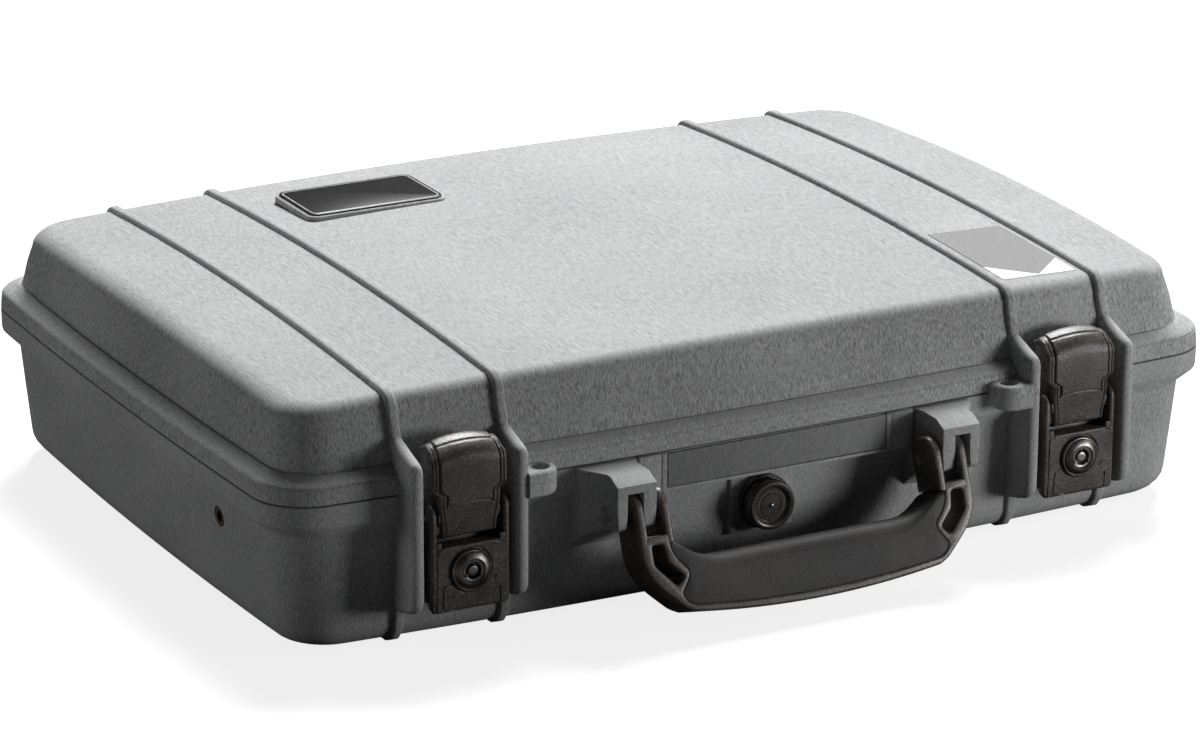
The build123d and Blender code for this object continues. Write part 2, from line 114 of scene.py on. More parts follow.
def slab(points, axis, span, edge=0, segments=3, angle=30):
    """Flat outline pulled along an axis between the pair span."""
    ob = drawn([on_axis(axis, span[0], p) for p in points])
    opened(ob)
    move = Vector(on_axis(axis, span[1] - span[0], (0, 0))) * MM
    bpy.ops.mesh.extrude_region_move(TRANSFORM_OT_translate={"value": move})
    outward(closed(ob))
    if edge:
        rounded(ob, edge, segments, angle)
    return ob


def box(x, y, z, edge=0):
    points = [(x[0], y[0]), (x[1], y[0]), (x[1], y[1]), (x[0], y[1])]
    return slab(points, "z", z, edge)


def soft_path(points, radius, steps=4):
    """Closed outline with each corner swapped for a short arc."""
    path = []
    count = len(points)
    for i in range(count):
        a, b, c = (Vector(points[(i + k) % count]) for k in (-1, 0, 1))
        reach = min(radius, 0.45 * (a - b).length, 0.45 * (c - b).length)
        start = b + (a - b).normalized() * reach
        end = b + (c - b).normalized() * reach
        for k in range(steps + 1):
            t = k / steps
            path.append(tuple(start * (1 - t) ** 2 + b * 2 * t * (1 - t) + end * t * t))
    return path


def round_box(half_x, half_z, radius, centre):
    """Outline of a rectangle with true round corners."""
    path = []
    for sx, sz, turn in CORNERS:
        middle = centre[0] + sx * (half_x - radius), centre[1] + sz * (half_z - radius)
        path += [on_circle(middle, radius, turn + 90 * k / 6) for k in range(7)]
    return path


def smooth_line(points, steps):
    """Points of a smooth line through the given 2-D points."""
    out = []
    for i in range(len(points) - 1):
        p0 = Vector(points[max(i - 1, 0)])
        p1 = Vector(points[i])
        p2 = Vector(points[i + 1])
        p3 = Vector(points[min(i + 2, len(points) - 1)])
        for k in range(steps):
            t = k / steps
            a = 2 * p1 + (p2 - p0) * t
            b = (2 * p0 - 5 * p1 + 4 * p2 - p3) * t * t
            c = (3 * p1 - p0 - 3 * p2 + p3) * t ** 3
            out.append(tuple((a + b + c) / 2))
    out.append(tuple(points[-1]))
    return out


def shrunk(points, depth):
    """Closed outline moved inwards by a depth, corner by corner."""
    area = sum(a[0] * b[1] - b[0] * a[1] for a, b in zip(points, points[1:] + points[:1]))
    turn = 1 if area > 0 else -1
    out = []
    for i, point in enumerate(points):
        before, here, after = Vector(points[i - 1]), Vector(point), Vector(points[(i + 1) % len(points)])
        first, second = (here - before).normalized(), (after - here).normalized()
        normal = Vector((-first.y - second.y, first.x + second.x)) * turn
        if normal.length < 0.01:
            normal = Vector((-first.y, first.x)) * turn
        normal.normalize()
        lean = max(0.6, normal.dot(Vector((-first.y, first.x)) * turn))
        out.append(tuple(here + normal * depth / lean))
    return out


def quarter(steps):
    """Angles of a quarter turn, from 0 to 90 degrees."""
    return [radians(90 * k / steps) for k in range(steps + 1)]


def fin(outline, middle, half, radius, axis="x"):
    """Plate across an axis whose whole rim is rounded from face to face."""
    places = [(-half + radius * (1 - cos(a)), radius * (1 - sin(a))) for a in quarter(5)]
    places += [(half - radius * (1 - sin(a)), radius * (1 - cos(a))) for a in quarter(5)]
    rings = []
    for along, depth in places:
        ring = shrunk(outline, depth) if depth > 0.001 else outline
        rings.append([on_axis(axis, middle + along, point) for point in ring])
    return swept(rings)


def flared_hole(outline, span, radius):
    """Tool for a hole along Y whose two mouths open out in a round edge."""
    def ring(y, spread):
        return [on_axis("y", y, point) for point in shrunk(outline, -spread)]

    mouth = [(radius * (1 - cos(a)), radius * (1 - sin(a)) + 0.001) for a in quarter(4)]
    rings = [ring(span[0] - 1, radius)]
    rings += [ring(span[0] + depth, spread) for depth, spread in mouth]
    rings += [ring(span[1] - depth, spread) for depth, spread in reversed(mouth)]
    rings.append(ring(span[1] + 1, radius))
    return swept(rings)


def rod(axis, centre, radius, span, sides=40):
    points = [on_circle(centre, radius, 360 * k / sides) for k in range(sides)]
    return slab(points, axis, span)


def turned(profile, x, z, steps=64):
    """(radius, y) profile closed and spun about the line through x, z along Y."""
    ob = drawn([(x + r, y, z) for r, y in profile + profile[:1]], fill="NOTHING")
    opened(ob)
    bpy.ops.mesh.spin(steps=steps, angle=2 * pi, center=(x * MM, 0, z * MM), axis=(0, 1, 0))
    return outward(closed(ob))


def swept(rings):
    """Edge loop extruded from ring to ring, with both ends filled."""
    ob = drawn(rings[0])
    opened(ob)
    for before, after in zip(rings, rings[1:]):
        bpy.ops.mesh.extrude_region_move()
        place = {tuple(round(c, 4) for c in old): new for old, new in zip(before, after)}
        mesh = bmesh.from_edit_mesh(ob.data)
        mesh.verts.ensure_lookup_table()
        for vertex in mesh.verts[-len(after):]:
            key = tuple(round(c / MM, 4) for c in vertex.co)
            vertex.co = Vector(near(place, key)) * MM
        bmesh.update_edit_mesh(ob.data)
    return outward(closed(ob))


def near(place, key):
    """The new point for an old one, allowing for rounding."""
    for shift in itertools.product((0, -1, 1), repeat=3):
        other = tuple(round(c + step * 1e-4, 4) for c, step in zip(key, shift))
        if other in place:
            return place[other]
    return min(place.items(), key=lambda item: (Vector(item[0]) - Vector(key)).length)[1]


def carved(ob, tool, operation="DIFFERENCE"):
    """Boolean with a tool piece that is used up."""
    pick(ob)
    cut = ob.modifiers.new("cut", "BOOLEAN")
    cut.operation = operation
    cut.solver = "EXACT"
    cut.object = tool
    bpy.ops.object.modifier_apply(modifier=cut.name)
    bpy.data.objects.remove(tool)
    return ob


def bored(ob, axis, centre, radius, span, sides=40):
    return carved(ob, rod(axis, centre, radius, span, sides))


def sliced(ob, z, keep_upper):
    """Cuts a piece with a level plane and closes it."""
    opened(ob)
    bpy.ops.mesh.bisect(plane_co=(0, 0, z * MM), plane_no=(0, 0, 1), use_fill=True,
                        clear_inner=keep_upper, clear_outer=not keep_upper)
    return closed(ob)


def both_sides(ob):
    """A piece and its mirror image across the middle plane, faces outwards."""
    other = ob.copy()
    other.data = ob.data.copy()
    bpy.context.scene.collection.objects.link(other)
    other.data.transform(Matrix.Scale(-1, 4, (1, 0, 0)))
    opened(other)
    bpy.ops.mesh.flip_normals()
    return [ob, closed(other)]


def placed(ob, place, degrees, axis):
    """Turns a piece about an axis through the origin and moves it; its origin stays put."""
    pick(ob)
    turn = Matrix.Rotation(radians(degrees), 4, axis)
    ob.matrix_world = Matrix.Translation(Vector(place) * MM) @ turn
    bpy.ops.object.transform_apply(location=True, rotation=True, scale=True)
    return ob


def eased(ob, width, segments, test):
    """Bevels the sharp edges whose middle passes the test, given in millimetres."""
    opened(ob)
    bpy.ops.mesh.select_mode(type="EDGE")
    bpy.ops.mesh.select_all(action="DESELECT")
    mesh = bmesh.from_edit_mesh(ob.data)
    for edge in mesh.edges:
        middle = (edge.verts[0].co + edge.verts[1].co) / (2 * MM)
        sharp = len(edge.link_faces) == 2 and edge.calc_face_angle(0) > radians(25)
        if sharp and test(middle):
            edge.select = True
    bmesh.update_edit_mesh(ob.data)
    bpy.ops.mesh.bevel(offset=width * MM, segments=segments, affect="EDGES", clamp_overlap=True)
    return closed(ob)


def joined(name, parts, angle):
    """One object from several closed pieces, smooth but for its sharp edges."""
    fresh()
    for part in parts:
        part.select_set(True)
    bpy.context.view_layer.objects.active = parts[0]
    bpy.ops.object.join()
    ob = bpy.context.object
    ob.name = name
    ob.data.name = name
    bpy.ops.object.shade_smooth_by_angle(angle=radians(angle))
    return ob


def painted(ob, material):
    ob.data.materials.clear()
    ob.data.materials.append(material)
    return ob


def finished(name, parts, angle, material, body, slot, *nodes):
    """One named piece made of its parts, on its body and in the place of the nodes."""
    ob = painted(joined(name, parts, angle), material)
    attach(ob, body)
    if nodes:
        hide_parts(*nodes)
    return ob


# ---- the case's own shape ----
RIB_X = (114.5, 158.65)
RIB_HALF = 2.2                  # half the width of a rib
LATCH_X = sum(RIB_X) / 2
HALF_W = 210.25
HALF_D = 145.0
FRONT_BOW = 7.0                 # how far the middle of the front wall stands out
SIDE_BOW = 3.25
HINGE = (151.5, 64.4)           # Y and Z of the lid's axis
HINGE_BORE = 2.06
STRAP = (-80, 41)               # Y and Z of the strap's screw
EAR_HOLE = (104.9, -154.5)
LABEL = (-67.5, 81)             # middle of the label plate
# insets along X and Y, and height, of the lid from its inside wall round the lip's groove; then the
# ledge, with a fine line under and behind it, and the slope above
LID_WALL = [
    (15, 15, 88), (12.6, 10.5, 74), (11, 9, 64.65), (7.6, 7.6, 64.65), (7.6, 7.6, 69), (4.4, 4.4, 69),
    (4.4, 4.4, 64.65), (0.25, 0.25, 64.65), (0, 0, 64.9),
    (0.45, 0.4, 70.7), (0.6, 0.8, 71), (0.75, 0.9, 71.3), (1, 0.7, 71.6), (1.4, 0.9, 72),
    (2.3, 1.6, 72.6), (6.7, 4.8, 74.9), (7.4, 5.3, 74.7), (8, 5.75, 74.9), (8.3, 6, 75.7),
    (8.6, 6.3, 77), (9.5, 8.4, 84), (10.4, 10.3, 89),
]
# the same for the base: up the outside, over the tongue and down the inside
BASE_WALL = [
    (8.2, 5.7, 31), (6.6, 4.6, 49), (6.2, 4.3, 50.1), (1, 0.8, 54.6), (0.3, 0.25, 55.4),
    (0.1, 0.1, 56.4), (0, 0, 63.8), (0.25, 0.25, 64.05), (5, 5, 64.05), (5.15, 5.15, 65.8),
    (6.85, 6.85, 65.8), (7, 7, 64.05), (11, 9, 64.05), (11, 9.2, 50), (14.5, 11.5, 14),
    (18, 15, 7.6), (24, 21, 6),
]


def dome(x, y):
    """Height of the lid's domed top."""
    return 106.7 - x * x / 9000 - y * y / 4200


def bow(x):
    return FRONT_BOW * (1 - (x / HALF_W) ** 2)


def corner_path(half_x, half_y, radius):
    """Points round a rectangle with round corners, evenly spread along its sides."""
    arcs = []
    for sx, sy, turn in CORNERS:
        middle = sx * (half_x - radius), sy * (half_y - radius)
        arcs.append([Vector(on_circle(middle, radius, turn + 9 * k)) for k in range(11)])
    path = []
    for arc, after, runs in zip(arcs, arcs[1:] + arcs[:1], (44, 28, 44, 28)):
        path += arc + [arc[-1].lerp(after[0], k / runs) for k in range(1, runs)]
    return path


def at_height(points, height):
    """(x, y) points lifted to a height, which is a number or a function of the place."""
    return [(x, y, height(x, y) if callable(height) else height) for x, y in points]


def rim(inset_x, inset_y, height, scale=1.0, tight=0.0):
    """Ring of points round the case; its sides and front bow out and its back is straight."""
    w = HALF_W - inset_x
    d = HALF_D - inset_y
    points = []
    for p in corner_path(w, d, max(20 - (0.25 + tight) * inset_x, 3)):
        bow_x = copysign(SIDE_BOW * (1 - min(1, (p.y / d) ** 2)), p.x)
        bow_y = FRONT_BOW * (1 - min(1, (p.x / w) ** 2)) if p.y < 0 else 0
        x, y = p.x + bow_x * min(1, abs(p.x) / w), p.y - bow_y * min(1, abs(p.y) / d)
        points.append((x * scale, y * scale))
    return at_height(points, height)


def shoulder(turn):
    """Inset along X and Y, and drop below the dome, at an angle round the lid's top edge."""
    c, s = cos(radians(turn)), sin(radians(turn))
    return 11.1 + 9.4 * (1 - c), 11.6 + 5.8 * (1 - c), 6.8 * (1 - s)


def across(side, near_x, far_x):
    """Span along X on one side of the case."""
    return sorted((side * near_x, side * far_x))


def latch_pocket(side, z):
    """Tool that clears the wall behind a latch."""
    return box(across(side, RIB_X[0] + 2, RIB_X[1] - 2), (-175, -147.5), z)


def lid_body():
    rings = [rim(34, 31, lambda x, y: dome(x, y) - 4.5, s) for s in (0.04, 0.35, 0.7, 1)]
    rings.append(rim(19.5, 19, lambda x, y: min(97, dome(x, y) - 4.8)))
    rings += [rim(*place) for place in LID_WALL]
    for turn in range(0, 91, 10):
        ix, iy, drop = shoulder(turn)
        tight = 0.22 * (ix - 11.1) / 9.4
        rings.append(rim(ix, iy, lambda x, y: dome(x, y) - drop, 1, tight))
    rings += [rim(ix, iy, dome, s, tight) for s in (0.96, 0.85, 0.7, 0.5, 0.3, 0.12, 0.02)]
    body = swept(rings)
    for side in SIDES:
        carved(body, latch_pocket(side, (60, 80)))
    return body


def base_body():
    rings = [rim(20, 17, 1.5, s) for s in (0.04, 0.5)]
    for turn in range(0, 91, 15):
        c, s = cos(radians(turn)), sin(radians(turn))
        rings.append(rim(20 - 10 * s, 17 - 10 * s, 11.5 - 10 * c))
    rings += [rim(*place) for place in BASE_WALL]
    rings.append(rim(24, 21, 6.0, 0.04))
    body = swept(rings)
    for side in SIDES:
        carved(body, latch_pocket(side, (46, 80)))
        bored(body, "x", STRAP, 4.2, across(side, 190, 215))
    return body


def guard(middle):
    """Fin beside a latch, from the foot of the base to the slope of the lid."""
    front = [
        (-136.5, 92.5), (-137.4, 89.2), (-139.6, 86.3), (-143.4, 84.2), (-149, 82.1), (-155, 80.1),
        (-158.2, 78.6), (-159.8, 75.8), (-160, 71), (-160, 50), (-160, 27), (-159.3, 22),
        (-156.6, 19.2), (-152, 17.5), (-146, 16.1), (-139.3, 14.8),
    ]
    outline = smooth_line(front, 3) + [(-135, 14.2), (-136, 50), (-136, 64), (-135.5, 76), (-131, 92.5)]
    return fin(outline, middle, 2.7, 2.5)


def lid_rib(middle):
    """Low round rib from the top of a guard over the lid to its back edge."""
    rise, root = 2.05, 2.4
    front = -HALF_D - bow(middle)

    def round_edge(turns, edge, sign):
        points = []
        for turn in turns:
            _, inset, drop = shoulder(turn)
            y, a = edge + sign * inset, radians(turn)
            points.append(((y, dome(middle, y) - drop), (-sign * cos(a), sin(a))))
        return points

    level = [-124 + 248 * (k - 0.5) / 13 for k in range(1, 14)]
    surface = [((front + 7.2, 80), (-1, 0.1)), ((front + 10.3, 89), (-1, 0.15))]
    surface += round_edge(range(0, 91, 15), front, 1)
    surface += [((y, dome(middle, y)), (0, 1)) for y in level]
    surface += round_edge(range(90, -1, -15), HALF_D, -1)
    surface.append(((HALF_D - 7.0, 77), (1, 0.1)))
    outer = [(y + rise * ny, z + rise * nz) for (y, z), (ny, nz) in surface]
    inner = [(y - root * ny, z - root * nz) for (y, z), (ny, nz) in reversed(surface)]
    return fin(outer + inner, middle, RIB_HALF, 1.3)


def base_rib(middle):
    """Rib under the floor that turns up the front and back walls."""
    front = -HALF_D + 7 - bow(middle) - 1.6
    back = HALF_D - 7 + 1.6
    outer = [
        (front - 1.6, 30), (front, 11), (front + 1.3, 6.3), (front + 4.6, 2.2), (front + 10, 0),
        (back - 10, 0), (back - 4.6, 2.2), (back - 1.3, 6.3), (back, 11), (back + 2, 46),
    ]
    inner = [
        (back - 1.2, 46), (back - 3.6, 13), (back - 8, 6), (back - 13, 3.6), (front + 13, 3.6),
        (front + 8, 6), (front + 3.6, 13), (front + 1.2, 30),
    ]
    return slab(outer + inner, "x", (middle - RIB_HALF, middle + RIB_HALF), 1.2, 3, 50)


def padlock_ear(z):
    """Lug beside the inner guard with an upright hole."""
    reach = 161.3
    corner = [on_circle((106.2, 8 - reach), 8, 180 + 90 * k / 12) for k in range(13)]
    ear = slab([(98.2, -144), *corner, (112.6, -reach), (112.6, -144)], "z", z)
    free_rim = z[0] if z[0] < 62 else z[1]
    eased(ear, 1.9, 5, lambda m: abs(m.z - free_rim) < 0.1 and m.y < -146 and m.x < 112)
    bored(ear, "z", EAR_HOLE, 3.75, (z[0] - 2, z[1] + 2))

    def mouth(m):
        return Vector((m.x - EAR_HOLE[0], m.y - EAR_HOLE[1])).length < 4.2 and abs(m.z - free_rim) < 0.2

    return eased(ear, 0.45, 2, mouth)


def handle_bracket():
    """Block that carries one end of the handle, its nose split into two legs."""
    front = -172.0
    plan = [
        (62.5, -143), (62.5, -152.5), (64, -156.5), (64, front), (80.7, front), (80.7, -163),
        (87.5, -154), (87.5, -143),
    ]
    block = slab(plan, "z", (15, 70))
    side = [
        (-143.5, 64.2), (-152.5, 64.2), (front + 6, 63.9), (front, 61.2), (front, 44.5),
        (front + 2, 42.6), (-160, 41), (-152, 36), (-143.5, 28),
    ]
    carved(block, slab(side, "x", (50, 100)), "INTERSECT")
    carved(block, box((69.5, 76.4), (-185, -152.9), (10, 57.9)))
    for edge_x, turn in ((69.5, 1), (76.4, -1), (64, -1), (80.7, 1)):
        out = edge_x + turn * 3
        taper = [(edge_x, 51), (edge_x - turn * 0.9, 40), (out, 40), (out, 51)]
        carved(block, slab(taper, "y", (-175, -161)))
    return rounded(block, 1.7, 4, 28)


def knuckle(x, web):
    """One barrel of a hinge with the web that roots it."""
    barrel = rod("x", HINGE, 5.5, x)
    carved(barrel, slab(web, "x", x), "UNION")
    bored(barrel, "x", HINGE, HINGE_BORE, (x[0] - 2, x[1] + 2))
    return rounded(barrel, 0.5, 2, 35)


def lid_parts():
    parts = [lid_body()]
    for middle in RIB_X:
        parts += both_sides(lid_rib(middle))
        parts += both_sides(sliced(guard(middle), 64.45, True))
    parts += both_sides(padlock_ear((64.45, 68.8)))
    catch = [(-147.8, 70), (-147.8, 79.6), (-146.6, 80.4), (-139, 80.4), (-139, 70)]
    parts += both_sides(slab(catch, "x", (LATCH_X - 13.2, LATCH_X + 13.2), 0.6, 2))
    parts.append(slab(round_box(32, 19.5, 5, LABEL), "z", (103.5, 106.6), 0.9, 3, 50))
    web = [(140.5, 64.55), (151.5, 64.55), (154, 68), (149.5, 71), (140.5, 74)]
    return parts + [knuckle((side * 112 - 7, side * 112 + 7), web) for side in SIDES]


def base_parts():
    parts = [base_body()]
    for middle in RIB_X:
        parts += both_sides(base_rib(middle))
        parts += both_sides(sliced(guard(middle), 64.33, False))
    parts.append(box((-RIB_X[1], RIB_X[1]), (-RIB_HALF, RIB_HALF), (0, 3), 1.0))
    parts += both_sides(padlock_ear((58.5, 64.35)))
    parts += both_sides(handle_bracket())
    screw_boss = rod("x", STRAP, 6.5, (197.5, 203.4))
    parts += both_sides(bored(screw_boss, "x", STRAP, 4.05, (198.8, 210)))
    boss = box((-61.3, 61.3), (-153.4, -142), (48.7, 64.25))
    carved(boss, box((-49.2, 49.2), (-160, -151.9), (50, 70)))
    for side in SIDES:
        carved(boss, box(across(side, 51.3, 51.75), (-160, -153), (49.6, 70)))
    parts.append(rounded(boss, 0.5, 2))
    parts.append(box((-18.5, 9.5), (-148.5, -142), (23.5, 49), 0.9))
    web = [(140.5, 64.25), (151.5, 64.25), (154, 60.9), (149.5, 57.9), (140.5, 50)]
    middles = [side * 112 + end * 14.5 for side in SIDES for end in SIDES]
    return parts + [knuckle((middle - 7, middle + 7), web) for middle in middles]


# ---- relief pieces ----
def to_line(p, line):
    """Distance from a 2-D point to a line of straight runs."""
    best = 1e9
    for a, b in zip(line, line[1:]):
        a, b = Vector(a), Vector(b)
        run = b - a
        t = max(0.0, min(1.0, (p - a).dot(run) / max(run.dot(run), 1e-9)))
        best = min(best, (p - a - run * t).length)
    return best


def ease(low, high, value):
    """Smooth step from 0 at low to 1 at high."""
    t = max(0.0, min(1.0, (value - low) / (high - low)))
    return t * t * (3 - 2 * t)


def groove(distance, width, depth):
    return -depth * (1 - ease(width * 0.35, width, distance))


def turned_edge(distance, radius):
    """How far a surface has dropped at this distance inside a round edge."""
    if distance >= radius:
        return 0.0
    return radius - sqrt(max(0.0, radius ** 2 - (radius - max(distance, 0)) ** 2))


def relief(middle, front, back, half_width, rise, columns, warp=None, sag=None):
    """Block lofted down a (y, z) front line, its face shaped by rise(x, y, z) along the line's normal.

    warp(x, z) slides the rows up or down, so that a curved step follows one row, and sag(x, z)
    lowers the back of the block.
    """
    rings = []
    count = len(front)
    for i, (y, z) in enumerate(front):
        ahead, behind = front[min(i + 1, count - 1)], front[max(i - 1, 0)]
        along = Vector((ahead[0] - behind[0], ahead[1] - behind[1])).normalized()
        normal = Vector((along.y, -along.x))
        wide = half_width(z)
        ring = []
        for k in range(columns + 1):
            x = wide * (2 * k / columns - 1)
            lift = rise(x, y, z, wide)
            slide = warp(x, z) if warp else 0.0
            ring.append((middle + x, y + normal.x * lift, z + slide + normal.y * lift))
        place = i / (count - 1) * (len(back) - 1)
        low = min(int(place), len(back) - 2)
        rear = Vector(back[low]).lerp(Vector(back[low + 1]), place - low)
        for k in range(columns, -1, -4):
            x = (wide - 0.5) * (2 * k / columns - 1)
            ring.append((middle + x, rear.x, rear.y - (sag(x, rear.y) if sag else 0.0)))
        rings.append(ring)
    return swept(rings)


# ---- latches ----
PIN = (-153.5, 56.0)            # Y and Z of the latch pin
LOCK_Z = 34.1
LEVER_FACE = -158.9
LEVER_TOP, LEVER_FOOT = 44.5, 18.0
STEP_Z = 60.7                   # lower end of the claw's raised panel
CLAW_FOOT = 47.6


def claw_parts(side):
    """T-shaped rocker: crowned cap, narrower thumb tail and a raised panel on both."""
    middle = side * LATCH_X
    face = [
        (-148.6, 85.3), (-150.5, 85.25), (-153, 84.6), (-155.6, 83.2), (-157.6, 81), (-158.5, 78.4),
        (-158.75, 74), (-158.8, 68), (-158.8, 63.6), (-158.75, 60.7), (-158.6, 56), (-158.2, 49.3),
        (-157.6, CLAW_FOOT),
    ]
    rear = [
        (-148.6, 83.2), (-150.5, 82.9), (-152.8, 82.3), (-154, 80.2), (-154.5, 78), (-154.7, 76),
        (-154.7, 72), (-154.7, 67), (-154.5, 64), (-154, 61), (-154.2, 55.5), (-154.8, 49),
        (-155, 47.9),
    ]

    def half_width(z):
        return 16.1 - 2.9 * ease(67.6, 64.2, z) - 1.5 * ease(62, 48, z) - 0.5 * ease(78, 84, z)

    def panel_half(z):
        return 12.4 - 3.0 * ease(67.4, 64.4, z) - 0.4 * ease(78, 84, z)

    def rise(x, y, z, wide):
        """Crown of the top, round edges, two fine steps and the arc over the thumb tail."""
        inside, in_panel = wide - abs(x), panel_half(z) - abs(x)
        lift = -2.6 * (x / 16) ** 2 * ease(76, 84, z) - 0.3 * (x / 16) ** 2
        lift -= turned_edge(inside, 1.5) + turned_edge(z - CLAW_FOOT, 0.9)
        lift += 0.45 * ease(-0.1, 0.45, min(in_panel, z - STEP_Z))
        if z < STEP_Z + 0.5:
            lift -= 0.3 * ease(STEP_Z, 55.5, z) * (1 - (x / wide) ** 2)
        cut = ease(85.2, 83.4, z)
        edge_line = abs(in_panel + 0.3) if z > 60.0 else 9.0
        lift += groove(edge_line, 0.5, 0.5) * cut
        lift += groove(abs(inside - 1.9), 0.4, 0.35) * cut
        lift += groove(abs(z - 60.45), 0.5, 0.35) * ease(0.2, 0.6, in_panel)
        lift += groove(abs(z - 84.15), 0.4, 0.3) * ease(-0.2, 0.3, in_panel)
        return lift

    def warp(x, z):
        """The step over the thumb tail is an arc, highest in the middle."""
        return 1.1 * max(0, 1 - (x / 9.4) ** 2) * max(0, 1 - abs(z - STEP_Z) / 4.5)

    def sag(x, z):
        return 2.9 * (x / 16) ** 2 * ease(74, 82, z)

    body = relief(middle, smooth_line(face, 14), rear, half_width, rise, 112, warp, sag)
    hub = rod("x", PIN, 4.4, (middle - 12.9, middle + 12.9))
    return [body, hub]


def lever_parts(side):
    """Lock plate with two arms that straddle the claw's tail."""
    middle = side * LATCH_X
    border = smooth_line([(-11.4, 44.2), (-13.4, 43.5), (-14.3, 41.6), (-14.5, 30), (-14.6, 18.2)], 6)
    lower = [
        (-8.8, 29.4), (-11.2, 28.9), (-11.6, 27), (-11.9, 19.2), (-4, 18.9), (12.3, 18.9), (12.5, 25),
    ]
    lines = (               # path, width and depth of each groove
        (border, 0.42, 0.45), (lower, 0.38, 0.4), ([(11.6, 43.6), (13.8, 43.2)], 0.5, 0.35),
        ([(9.6, 28.6), (10.6, 29.6)], 0.5, 0.35),
    )
    front = [(LEVER_FACE, LEVER_TOP - 26.5 * k / 100) for k in range(101)]
    rear = [(-155, 44.4), (-155, 18.2)]

    def rise(x, y, z, wide):
        lift = -turned_edge(wide - abs(x), 1.1) - turned_edge(LEVER_TOP - z, 0.9)
        lift -= turned_edge(z - LEVER_FOOT, 1.1)
        lift += groove(abs(Vector((x, z - LOCK_Z)).length - 8.75), 0.6, 0.7)
        for line, width, depth in lines:
            lift += groove(to_line(Vector((x, z)), line), width, depth)
        return lift

    def half_width(z):
        return 16.6 - turned_edge(z - LEVER_FOOT, 2.2)

    plate = relief(middle, front, rear, half_width, rise, 124)
    bored(plate, "y", (middle, LOCK_Z), 7.05, (-170, -140))
    parts = [plate]
    arm_side = [(LEVER_FACE, 21)]
    for turn in range(180, -1, -15):
        a = radians(turn)
        arm_side.append((PIN[0] + 5.35 * cos(a), PIN[1] + 5.2 * sin(a)))
    arm_side += [(-150.4, 40), (-151.5, 21)]
    web = [(LEVER_FACE, 43.5), (LEVER_FACE, 46.6), (-158.2, 46.6), (-155.6, 44), (-155.6, 43.5)]
    for end in SIDES:
        arm = slab(arm_side, "x", sorted((middle + end * 13.95, middle + end * 16.6)), 1.1, 4)
        parts.append(bored(arm, "x", PIN, 1.55, (middle - 30, middle + 30)))
        parts.append(slab(web, "x", sorted((middle + end * 12.3, middle + end * 14.5)), 0.6, 3))
    parts.append(box((middle - 13.9, middle + 13.9), (-155.2, -152.6), (42.5, 44.4), 0.5))
    # dark plate behind the gap under the claw's tail: painted shade, a dark sheet that stands in for the
    # deep shadow in that gap
    parts.append(box((middle - 14.2, middle + 14.2), (-151.6, -150.5), (39, 45.6), 0.4))
    return parts


def lock_barrel(side):
    """Round lock housing: flat outer ring, polished cone and a step down to the plug."""
    profile = [
        (4.56, -149.6), (4.56, -160.9), (4.7, -161.3), (5, -161.55), (5.4, -161.5), (7.1, -160.55),
        (7.35, -160.3), (7.5, -159.8), (7.7, -159.75), (7.85, -160.2), (8.1, -160.2),
        (8.3, -159.9), (8.3, -158.2), (7, -158.2), (7, -149.6),
    ]
    return turned(profile, side * LATCH_X, LOCK_Z, 96)


def lock_plug(side):
    """Tubular key plug: a post in an annular slot, with three small notches round it."""
    middle = side * LATCH_X
    profile = [
        (0.02, -160.8), (0.5, -160.85), (1.6, -160.85), (1.95, -160.75), (2.1, -160.5), (2.1, -158.4),
        (3.15, -158.4), (3.15, -160.8), (3.3, -161.05), (3.5, -161.15), (4.3, -161.15), (4.5, -160.95),
        (4.5, -149.2), (0.02, -149.2),
    ]
    plug = turned(profile, middle, LOCK_Z, 72)
    for turn, size in ((200, 0.75), (80, 0.45), (320, 0.45)):
        notch = on_circle((middle, LOCK_Z), 3.5, turn)
        bored(plug, "y", notch, size, (-162, -159.6), 16)
    return plug


# ---- handle ----
FRAME_OUTER = [
    (74, -9.6), (74, -17), (73.2, -21), (71.2, -25.6), (68, -30), (60.9, -37), (58, -39.4),
    (54.5, -41.2),
]
FRAME_INNER = [
    (54.5, -38), (57.6, -36.2), (58.9, -33.4), (57.4, -31), (55.6, -28.4), (54.9, -26), (55.5, -24),
    (58.3, -20.7), (59.9, -18), (60.8, -15.4), (61.2, -9.6),
]
WINDOW = [(64.4, -13.4), (69.2, -13.4), (69.2, -21.2), (61, -30.3), (57.3, -26.8), (63.3, -20.6)]
FRONT, BACK = -10.6, 7.0


def sagging(half, middle, end):
    """Points of a shallow arc from -half to half, lowest at the middle."""
    return [(half * t, middle + (end - middle) * t * t) for t in (2 * k / 24 - 1 for k in range(25))]


def flipped(points):
    return [(-x, z) for x, z in reversed(points)]


def leaned(ob):
    """Turns a piece drawn hanging from the origin into the handle's resting place."""
    return placed(ob, (0, -163.5, 46.8), -21, "X")


def handle_frame():
    inner = smooth_line(FRAME_INNER, 4)
    outer = smooth_line(FRAME_OUTER, 4)
    inner_low = sagging(54.5, -41.3, -38)
    outer_low = sagging(54.5, -44.9, -41.2)
    loop = outer + list(reversed(outer_low))[1:-1] + flipped(outer)
    loop += flipped(inner) + inner_low[1:-1] + inner
    body = fin(loop, (FRONT + BACK) / 2, (BACK - FRONT) / 2, 1.1, "y")
    prong = smooth_line([
        (FRONT, -13), (FRONT, 0.5), (FRONT + 0.6, 3.6), (FRONT + 2.8, 7.2), (FRONT + 6, 8.8),
        (BACK - 4.5, 8.8), (BACK - 1.4, 6.6), (BACK - 0.2, 3), (BACK, -1), (BACK, -13),
    ], 4)
    parts = [body]
    for mirror in (1, -1):
        hole = soft_path([(mirror * x, z) for x, z in WINDOW], 1.6, 5)
        carved(body, flared_hole(hole, (FRONT, BACK), 0.9))
        for middle, half in ((60.9, 1.9), (72, 2)):
            parts.append(fin(prong, mirror * middle, half, 1.3))
    return [leaned(bored(part, "x", (0, 0), 1.55, (-90, 90))) for part in parts]


